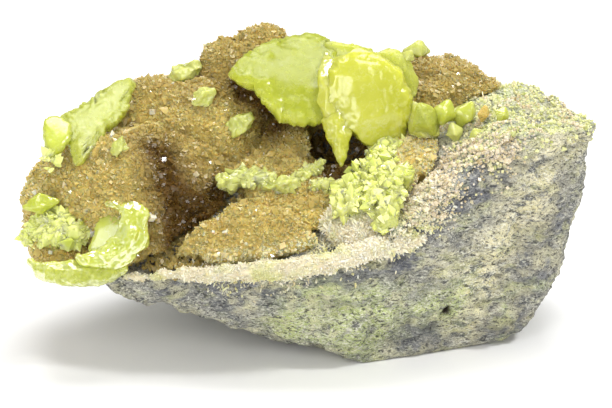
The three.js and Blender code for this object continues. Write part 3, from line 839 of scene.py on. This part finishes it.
def make_druse(name, number):
    """The node's skin, made into mounds with valleys between them, under a crowd of pointed crystals that
    stand on it. Painted shade makes it darker in the valleys, under the sulfur, in its own hollows and at
    the top of the mounds, and the front lump is a little darker all over. A few crystals are painted almost
    white as painted highlights, and some mounds have a pale fringe."""
    solid = DRUSE[name]
    rng = np.random.default_rng(100 + number)
    points, quads = solid.surface(DRUSE_GRID.get(name, 40))
    points = smoothed(points, quads, 6)
    if name == "druse_floor":
        points = opened(points)
    normals = normals_of(points, quads)
    valley = sum(near_path(points, path, 2.8) for path in VALLEYS) * (name in ("druse_left", "druse_floor"))
    lumps = Noise(20 + number)
    relief = 0.9 * lumps.layered(points, 5.5, 2) - 0.5 * np.abs(lumps.layered(points + 9, 2.6, 2))
    points = points + normals * (relief + 0.3 - 2.2 * np.clip(valley, 0, 1))[:, None]
    normals = normals_of(points, quads)
    # Painted shade in `deep`: along the valleys, in hollows that the smoothed skin passes over, round the
    # spots under the sulfur, and at the tops of the mounds.
    hidden = ((smoothed(points, quads, 40) - points) * normals).sum(1)
    shade = sum(near_path(points, path, 5.5) for path in VALLEYS) * (name == "druse_left")
    deep = np.clip(0.7 * shade + 0.4 * valley, 0, 1) + np.clip(1.1 * near(points, SHUT_IN, 3.8), 0, 1)
    deep = deep + np.clip(hidden * 0.8, 0, 0.5)
    deep = deep + 0.12 * (name == "druse_front")
    # Painted shade: the tops of the mounds are darker.
    crest = 0.34 if name == "druse_right" else 0.26
    deep = np.clip(deep + crest * np.clip((points[:, 2] - 39) / 3, 0, 1), 0, 0.95)
    tone = np.full(len(points), 0.5)
    add_piece(f"{name}_bed", points, quads, DRUSE_BED, name, values={"deep": deep, "tone": tone})
    others = [ROCK] + [other for key, other in DRUSE.items() if key != name]
    place, normal, deep = sites(points, quads, DRUSE_SPACING, rng, others, deep)
    count = len(place)
    width = DRUSE_WIDTH * np.exp(0.3 * rng.normal(size=count)) * np.where(rng.random(count) < 0.04, 1.6, 1)
    sizes = np.stack([width, width, width * np.where(rng.random(count) < 0.25, 1.7, 1.05)], 1)
    tone = np.clip(rng.normal(0.5, 0.13, count), 0, 1)
    # Painted highlights: a few crystals, fewer where it is shaded, are made larger, lifted and painted
    # almost white to stand for glints.
    glint = (rng.random(count) < 0.003 * (1.1 - deep)) * rng.uniform(0.4, 1, count)
    place = place + normal * (glint * 0.12)[:, None]
    sizes *= (1 + 0.7 * glint)[:, None]
    pale = {"druse_front": 1.2 * near_path(place, FRINGE, 2.2), "druse_shelf": 0.45, "druse_right": 0.1}
    fringe = np.clip(pale.get(name, 0) * rng.uniform(0.4, 1.6, count), 0, 0.9)
    values = {"tone": tone, "deep": deep * (1 - glint) * (1 - fringe), "glint": glint, "fringe": fringe}
    axes = turned_to(normal, 0.5, rng)
    add_crowd(f"{name}_points", blunt_point(), place, axes, sizes, DRUSE_POINTS, name, values)


for number, name in enumerate(DRUSE):
    make_druse(name, number)


# ---------------------------------------------------------------- the pale crust and the grit on the rock

RIM = [(-30, -18.6, 17.3), (-22, -21.2, 18.6), (-15, -23.2, 19.8), (-1, -24.2, 21), (7, -24.2, 23),
       (12, -22.8, 24.6), (15, -19.7, 23.6)]


def make_rim_crust():
    """A thin cord along the edge of the rock and a low mound at its end, under a fur of small cream
    crystals."""
    rng = np.random.default_rng(7)
    cord = tube(RIM, [0.7, 1.1, 1.4, 1.6, 1.9, 1.9], 0.9, 44, 1, 0.6)
    directions, quads = sphere_grid(30)
    cos, sin = math.cos(math.radians(30)), math.sin(math.radians(30))
    tilted = (directions * (8.6, 6.0, 2.7)) @ np.array([[1, 0, 0], [0, cos, sin], [0, -sin, cos]])
    mound = roughened(tilted + np.array([11.5, -17.7, 26.0]), quads, 71, 0.5, 0.1)
    for part, (points, quads) in (("cord", cord), ("mound", (mound, quads))):
        shade = {"tone": np.full(len(points), 0.4), "deep": np.full(len(points), 0.3)}
        add_piece(f"rim_crust_{part}", points, quads, CRUST, "rim_crust", values=shade)
        place, normal, _ = sites(points, quads, 0.31, rng, [ROCK])
        count = len(place)
        right = np.clip((place[:, 0] + 4) / 12, 0, 1)
        width = (0.11 + 0.02 * right) * np.exp(0.3 * rng.normal(size=count))
        sizes = np.stack([width, width, width * rng.uniform(0.8, 1.7, count)], 1)
        tone = np.clip(rng.normal(0.5, 0.2, count) + 0.25 * right, 0, 1)
        axes = turned_to(normal, 0.6, rng)
        add_crowd(f"rim_crust_{part}_fur", needle(), place, axes, sizes, CRUST, "rim_crust",
                  {"tone": tone, "deep": 0.3 * rng.random(count)})


def make_druse_on_rock():
    """The same points standing on the rock itself, in the gap between the mounds and in the hollow."""
    rng = np.random.default_rng(10)
    points, quads = ROCK_SKIN
    place, normal, share = sites(points, quads, 0.45, rng, (), near(points, GAPS, 4.5))
    in_hollow = np.linalg.norm((place - HOLLOW_CENTRE) / HOLLOW_RADII, axis=1) < 1.8
    facing_up = (normal[:, 2] > 0.45) & (place[:, 2] > 18)
    keep = (rng.random(len(place)) < share * 2.5) & (facing_up | in_hollow)
    place, normal, in_hollow = place[keep], normal[keep], in_hollow[keep]
    count = len(place)
    width = 0.32 * np.exp(0.32 * rng.normal(size=count))
    sizes = np.stack([width, width, width * rng.uniform(0.8, 1.5, count)], 1)
    axes = turned_to(normal, 0.5, rng)
    # Painted shade: darker in the hollow than elsewhere.
    values = {"tone": rng.uniform(0.3, 0.7, count), "deep": np.where(in_hollow, 0.85, 0.4)}
    add_crowd("druse_on_rock", blunt_point(), place, axes, sizes, DRUSE_POINTS, "druse_floor",
              values)


def make_grit_on_rock():
    """Grains scattered on the rock's own skin: yellow-green and cream ones on its top, brown ones beside
    the heap and white needles below them."""
    rng = np.random.default_rng(9)
    points, quads = ROCK_SKIN
    high = np.clip((points[:, 2] - 35) / 3, 0, 1)
    on_top = high * np.clip(normals_of(points, quads)[:, 2] * 3 - 1, 0.12, 1)
    brown, white = near(points, PINK_SPOTS, 3.4), near(points, WHITE_SPOTS, 3.4)
    for key, weight, spacing, template, width, greenness in (
            ("top", on_top, 0.56, bipyramid(2), 0.27, 0.62),
            ("brown", brown, 0.4, blunt_point(), 0.25, 0.2),
            ("white", white, 0.33, needle(), 0.12, 0.2)):
        place, normal, share = sites(points, quads, spacing, rng, DRUSE.values(), weight)
        keep = rng.random(len(place)) < share * 1.3
        place, normal = place[keep], normal[keep]
        count = len(place)
        width = width * np.exp(0.3 * rng.normal(size=count))
        sizes = np.stack([width, width, width * rng.uniform(0.7, 1.2, count)], 1)
        tone = np.clip(rng.normal(0.6, 0.25, count), 0, 1)
        patches = Noise(12).layered(place, 4.0, 2)
        kind = np.clip((patches * 0.6 + greenness - 0.5) * 3 + 0.5 + 0.3 * rng.normal(size=count), 0, 1)
        axes = turned_to(normal, 0.5, rng)
        values = {"tone": tone, "kind": kind, "deep": 0.3 * rng.random(count)}
        add_crowd(f"rock_grit_{key}", template, place + 0.05 * normal, axes, sizes,
                  CRUST if key == "white" else GRIT, "matrix_rock", values)


make_rim_crust()
make_druse_on_rock()
make_grit_on_rock()


# ---------------------------------------------------------------- the sulfur

HEAP_BEND = 33.5  # the height where the heap starts to lean back
AWAY_FROM_FRONT = np.array([0, 0.94, -0.34])  # along the line of sight from the front


def add_sulfur(name, shape, material, node, tone=0.0, painted_top_shade=0.0):
    """One crystal. Where it faces up, painted shade makes its colour a deeper yellow, by the share given
    for that.
    """
    points, quads = shape
    up = np.clip(normals_of(points, quads)[:, 2] * 1.6 - 0.5, 0, 1)
    values = {"tone": np.full(len(points), tone), "painted_top_shade": painted_top_shade * up}
    add_piece(name, points, quads, material, node, values=values)


def node_core(name, material, n, root=None, sunk=0.0, rounds=2, tone=0.0, crests=0.0):
    """The node's skin with its edges rounded and broken by noise, `sunk` millimetres inside the CAD skin.
    The upper part of the heap also leans back, away from its own height."""
    points, quads = Solid(name, root).surface(n)
    points = smoothed(points, quads, rounds)
    points = points - sunk * normals_of(points, quads)
    if name == "sulfur_heap":
        lean = 0.8 * np.clip(points[:, 2] - HEAP_BEND, 0, None)
        points = points + lean[:, None] * AWAY_FROM_FRONT
    if crests:
        points = etched(points, quads, 51, crests, 2.4)
    points = roughened(points, quads, 50, 0.2, 0.06)
    add_sulfur(name + "_core", (points, quads), material, name, tone)
    return points, quads


def crust_of_crystals(name, skin, material, spacing, size, seed, lift=0.0):
    """Small blocky crystals scattered over a skin, larger and smaller, and lighter and darker."""
    rng = np.random.default_rng(seed)
    place, normal, _ = sites(*skin, spacing, rng)
    count = len(place)
    width = size * np.exp(0.35 * rng.normal(size=count))
    sizes = width[:, None] * rng.uniform(0.6, 1.4, (count, 3))
    tone = np.clip(rng.normal(0.4, 0.35, count), 0, 1)
    axes = turned_to(normal, 0.9, rng)
    add_crowd(name + "_crystals", bipyramid(2), place + lift * normal, axes, sizes, material,
              name, {"tone": tone})


ROUNDED = 9  # the sharpness of a crystal with soft edges


def crystal(centre, size, lean_degrees, n=14, seed=0, relief=0.12, sharpness=22):
    """One rounded bipyramid of that size along its own axes, leant over and roughened."""
    points, quads = bipyramid(n, sharpness)
    turn = np.array(Euler([math.radians(angle) for angle in lean_degrees]).to_matrix())
    points = (points * (np.array(size) / (2 * ACROSS, 2, 2 * BASAL * ALONG))) @ turn.T + np.array(centre)
    return roughened(points, quads, 300 + seed, relief, 0.05), quads


BLADE = [(-12.8, -0.2, 46.9), (-10.7, 2.8, 48.2), (-8.1, 5.8, 49.2), (-5.7, 8.3, 49.8), (-3.6, 8.6, 49.7),
         (-1.7, 9.6, 50), (2.3, 9.6, 50), (4.4, 8.3, 49.1), (5.4, 3.8, 47.4), (5.2, -0.7, 44.5),
         (4, -3.4, 41.9), (2.8, -4.4, 39.4), (0, -4.7, 39.2), (-2.3, -4.7, 39.5), (-4.3, -4.7, 40.1),
         (-6, -4.2, 41.8), (-7.3, -3.7, 43), (-9, -2.4, 44.9), (-10.8, -1.6, 45.6), (-12, -1, 46.2)]
TABLET = [(6.1, -1.2, 49.8), (8.2, -0.9, 50.5), (10.6, -0.7, 50.5), (13.2, -1.2, 49.6), (15.4, -1.7, 47.7),
          (17, -2.2, 45.1), (17.5, -2.6, 42.5), (17.4, -3, 40), (16.6, -3.2, 37.4), (15.6, -3.7, 35.5),
          (13.3, -4.2, 35.1), (10.8, -4.7, 35.3), (8.6, -5, 36.5), (7.3, -5.2, 38.1), (5.6, -5, 38.9),
          (4.1, -4.7, 39.6), (3.3, -4.2, 41.6), (3.1, -3.2, 44.1), (3.6, -2, 46.8), (4.6, -1.4, 48.6)]
BACK_PLATE = [(2, 8.3, 50), (3.7, 7.8, 49.6), (6.5, 7.3, 49.4), (9, 6.8, 48.9), (11.4, 5.8, 48.5),
              (10, 4.8, 44.1), (6.5, 4.8, 43.1), (3.3, 5.3, 44.6)]
BEHIND = [(11, 2.8, 49.1), (13, 3.3, 49.6), (15, 3.3, 49.5), (16.8, 2.8, 48.2), (18.1, 1.8, 46.3),
          (18.6, 0.8, 44.5), (18.3, -0.2, 42.6), (16.4, -0.7, 41.9), (13.9, -0.2, 43.4), (12, 1.3, 46.5)]
STEM = [(4.6, -3.2, 43.2), (4.9, -4.8, 39.8), (5.5, -6, 36.9), (5.7, -7.2, 34.7), (5.8, -8.2, 33)]
RIDGE = [(3.4, 4.5, 48.6), (3.7, 0.5, 47.4), (3.9, -3.2, 44.6), (4.2, -4.6, 41.6), (4.6, -5, 39.2)]
MIDDLE = [(2, 4, 44), (7, 3, 43), (12, 2, 42)]
LEAF = [(-28.6, 6.8, 43.3), (-30.9, 6.4, 43.1), (-33.2, 4.9, 42.3), (-34.8, 3.4, 41.6), (-36.9, 1, 40.4),
        (-39, -0.5, 39.7), (-40.9, -1.5, 39.2), (-40.5, -3.5, 38.2), (-39.7, -5.8, 37.1),
        (-38.9, -8.6, 35.8), (-38.1, -11.2, 34.6), (-37.1, -11.4, 34.5), (-35.9, -9.5, 35.4),
        (-34.8, -7.8, 36.2), (-33.6, -5.6, 37.2), (-32.2, -3, 38.4), (-31, -1.3, 39.3), (-29.5, 0.4, 40.1),
        (-29.3, 2.7, 41.3), (-28.9, 4.7, 42.2)]
STUB = [(-43, -5.2, 40.2), (-41, -4.6, 40.2), (-39, -5.6, 39.3), (-38.8, -7.4, 37.9), (-39.8, -9.2, 36.4),
        (-42.1, -10.7, 35.1), (-42.6, -9.7, 36.2), (-43.4, -7.7, 37.9), (-43.4, -6.2, 39.5)]
TOWARDS_FRONT = np.array([0, -2.6, 0.95])  # out of the druse, along the line of sight from the front
HORN = [(-32.5, -13.7, 28.2), (-30.9, -14.2, 28.6), (-28.9, -15, 28.1), (-27.9, -16, 26.4),
        (-28.2, -16.8, 24.1), (-29.4, -17.4, 22.3), (-31.3, -18.2, 21), (-33.6, -18.6, 20.4),
        (-36, -18.4, 20.3), (-37.4, -17.4, 20.8)]
LEDGE = [(-45.6, -17.4, 20.1), (-43.5, -19.2, 19), (-40.5, -20, 18.6), (-37.2, -20.4, 18.6),
         (-34, -20.6, 18.8), (-31, -20.8, 19.2), (-29, -20.4, 20)]


def make_main_group():
    """The tilted blade, the plates behind, the rounded tablet in front with its facets, and the drop
    below it."""
    node, rng = "sulfur_main_group", np.random.default_rng(31)
    points, quads = plate(BLADE, 1.2, 2.4, 72, 0.3, 0.35, 1)
    points = roughened(points, quads, 64, 0.25, 0.0)
    points = roughened(chipped(points, 8, 0.3, rng, (-0.1, -1, 1.1), 0.18), quads, 61, 0.08, 0.05)
    add_sulfur("sulfur_blade", (points, quads), SULFUR_BLADE, node, painted_top_shade=1.0)
    points, quads = plate(TABLET, 2.7, 5.5, 72, 0.45, 0.25, 2)
    points = roughened(points, quads, 65, 0.45, 0.0)
    points = chipped(points, 16, 0.4, rng, (0.1, -1, 0.4), 0.26)
    drawn_out = points @ np.diag([1.0, 1.0, 0.3])
    grooves = 0.08 * Noise(63).layered(drawn_out, 1.4, 2)
    points = points + normals_of(points, quads) * grooves[:, None]
    add_sulfur("sulfur_tablet", (roughened(points, quads, 62, 0.07, 0.04), quads), SULFUR_TABLET, node)
    for name, outline, seed in (("sulfur_back_plate", BACK_PLATE, 3), ("sulfur_behind_tablet", BEHIND, 4)):
        points, quads = plate(outline, 1.6, 2.0, 36, 0.4, 0.25, seed)
        points = roughened(chipped(points, 5, 0.6, rng), quads, 60 + seed, 0.2, 0.05)
        add_sulfur(name, (points, quads), SULFUR_BLADE, node, 0.1)
    add_sulfur("sulfur_stem", tube(STEM, [2.6, 2.7, 2.0, 1.1, 0.3], 0.8, 36, 5, 0.4), SULFUR_TABLET, node)
    points, quads = tube(RIDGE, [1.2, 1.7, 2.1, 2.3, 1.9], 0.6, 40, 14, 0.3)
    add_sulfur("sulfur_ridge", (chipped(points, 5, 0.3, rng, spread=0.4), quads), SULFUR_TABLET, node)
    add_sulfur("sulfur_middle", tube(MIDDLE, [4.5, 5.0, 4.0], 0.8, 30, 6, 0.4), SULFUR_BLADE, node)
    bead = crystal((16.9, 2.4, 48.6), (2.8, 2.6, 3.0), (20, 30, 0), seed=1)
    add_sulfur("sulfur_bead_behind", bead, SULFUR_LEAF, node, 0.4)


def make_left_sulfur():
    """The leaf with its stub and the small crystals at its foot, the curled horn over its web, the ledge
    below, and the crusted lump with one oval crystal."""
    node, rng = "sulfur_left_leaf", np.random.default_rng(32)
    points, quads = plate(LEAF, 0.9, 1.6, 56, 0.35, 0.5, 7)
    points = roughened(chipped(points, 8, 0.5, rng, (0, -1, 1.5)), quads, 67, 0.2, 0.1)
    add_sulfur("sulfur_leaf", (points, quads), SULFUR_LEAF, node)
    add_sulfur("sulfur_leaf_stub", plate(STUB, 1.0, 1.5, 30, 0.35, 0.2, 8), SULFUR_BRIGHT, node)
    foot = tube([(-42.2, -9.6, 36), (-41.8, -11, 34.6), (-42.2, -11.6, 33.4)], [1.0, 1.2, 0.7], 0.8, 16, 9)
    crust_of_crystals(node, foot, SULFUR_SMALL, 1.1, 0.7, 33)
    node = "sulfur_horn"
    horn = tube(HORN + TOWARDS_FRONT, [1.1, 2.0, 2.5, 2.6, 2.4, 2.2, 1.4], 0.85, 50, 10, 0.35)
    points = roughened(chipped(horn[0], 7, 0.5, rng, (0.4, -1, 0.6)), horn[1], 68, 0.5, 0.12)
    add_sulfur("sulfur_horn_bar", (points, horn[1]), SULFUR_BRIGHT, node)
    web = [(-31.4, -13.8, 27.6), (-29.6, -15.6, 26), (-30.4, -17, 23), (-33, -17.6, 21.4),
           (-35.4, -17.2, 21.6), (-34.6, -16, 24), (-33.6, -14.6, 26.2)]
    web = plate(web + TOWARDS_FRONT * 0.9, 0.7, 2.2, 30, 0.5, 0.3, 11)
    add_sulfur("sulfur_horn_web", web, SULFUR_BRIGHT, node)
    ledge = tube(LEDGE, [1.2, 2.0, 2.1, 2.1, 2.0, 1.4], 1.2, 50, 12, 0.45)
    add_sulfur("sulfur_ledge", ledge, SULFUR_LEAF, node)
    node = "sulfur_oval"
    oval = crystal((-43.6, -13.2, 28.1), (3.8, 3.2, 6.0), (0, 82, 8), 20, 13, 0.4)
    add_sulfur("sulfur_oval_crystal", oval, SULFUR_BRIGHT, node)
    skin = node_core(node, SULFUR_SMALL, 50, (0.5, 0.79, 0.59), -1.1, crests=1.1, tone=0.4)
    crust_of_crystals(node, skin, SULFUR_SMALL, 1.2, 0.6, 34, lift=-0.1)


def make_right_sulfur():
    """A dim core with five crystals on it, then one brown and one yellow crystal on the way to the
    right."""
    node = "sulfur_right_group"
    node_core(node, SULFUR_DIM, 40, (0.39, 0.4, 0.31), 0.3)
    beads = [
        ((20.0, -6.0, 40.0), (6.2, 4.4, 8.2), (10, -25, 10), SULFUR_LEAF),
        ((22.9, -5.6, 41.4), (4.6, 4.4, 4.8), (-15, 20, 0), SULFUR_BRIGHT),
        ((26.4, -4.6, 40.8), (4.8, 4.4, 5.8), (15, 20, 30), SULFUR_BRIGHT),
        ((24.4, -6.4, 38.2), (3.6, 3.0, 3.8), (0, -15, 10), SULFUR_GLASS),
        ((28.0, -8.4, 38.6), (2.6, 2.4, 3.2), (10, 60, 0), SULFUR_GLASS),
    ]
    for k, (centre, size, lean, material) in enumerate(beads):
        bead = crystal(centre, size, lean, 18, 20 + k, 0.3, ROUNDED)
        add_sulfur(f"sulfur_right_bead_{k + 1}", bead, material, node, 0.05 * k)
    brown = crystal((29.3, -6.3, 41.4), (2.8, 2.6, 3.2), (10, 5, 30), 16, 26, 0.2, ROUNDED)
    add_sulfur("sulfur_right_brown", brown, DRUSE_BED, "sulfur_right_1", 0.6)
    yellow = crystal((32.2, -8.2, 41.9), (2.9, 2.6, 3.0), (-20, 30, 10), 16, 27, 0.2, ROUNDED)
    add_sulfur("sulfur_right_yellow", yellow, SULFUR_BRIGHT, "sulfur_right_2", 0.1)


def make_far_edge():
    """Two crystals on the far side of the druse."""
    for k, (centre, size, lean) in enumerate((
            ((18.7, 12.4, 46.4), (5.4, 4.6, 3.6), (10, 8, 20)),
            ((17.0, 12.2, 44.4), (3.6, 3.4, 4.2), (0, -20, 0)))):
        far = crystal(centre, size, lean, 18, 40 + k, 0.3)
        add_sulfur(f"sulfur_far_edge_{k + 1}", far, SULFUR_LEAF, "sulfur_far_edge", 0.3)


make_main_group()
make_left_sulfur()
make_right_sulfur()
HEAP = node_core("sulfur_heap", SULFUR_GLASS, 80, (0.51, 0.6, 0.32), -0.6, crests=1.1, tone=0.1)
crust_of_crystals("sulfur_heap", HEAP, SULFUR_SMALL, 1.3, 0.62, 35, lift=-0.15)
for k in (1, 2, 3):
    node = f"sulfur_chain_{k}"
    skin = node_core(node, SULFUR_GLASS, 36, None, -0.1, crests=0.7)
    crust_of_crystals(node, skin, SULFUR_GLASS, 1.4, 0.6, 36 + k, lift=-0.15)
make_far_edge()
for k in (1, 2, 3, 4):
    node_core(f"sulfur_single_{k}", SULFUR_GLASS, 30, crests=0.5)


# ---------------------------------------------------------------- the floor

def add_floor():
    """A plain white sheet under everything."""
    f = Finish("white_sheet")
    floor = bpy.data.objects.new("floor", bpy.data.meshes.new("floor"))
    half = 3.0
    corners = [(-half, -half, 0), (half, -half, 0), (half, half, 0), (-half, half, 0)]
    floor.data.from_pydata(corners, [], [(0, 1, 2, 3)])
    floor.data.materials.append(f.shade(Base_Color=(0.97, 0.97, 0.97, 1), Roughness=0.6))
    bpy.context.scene.collection.objects.link(floor)


add_floor()
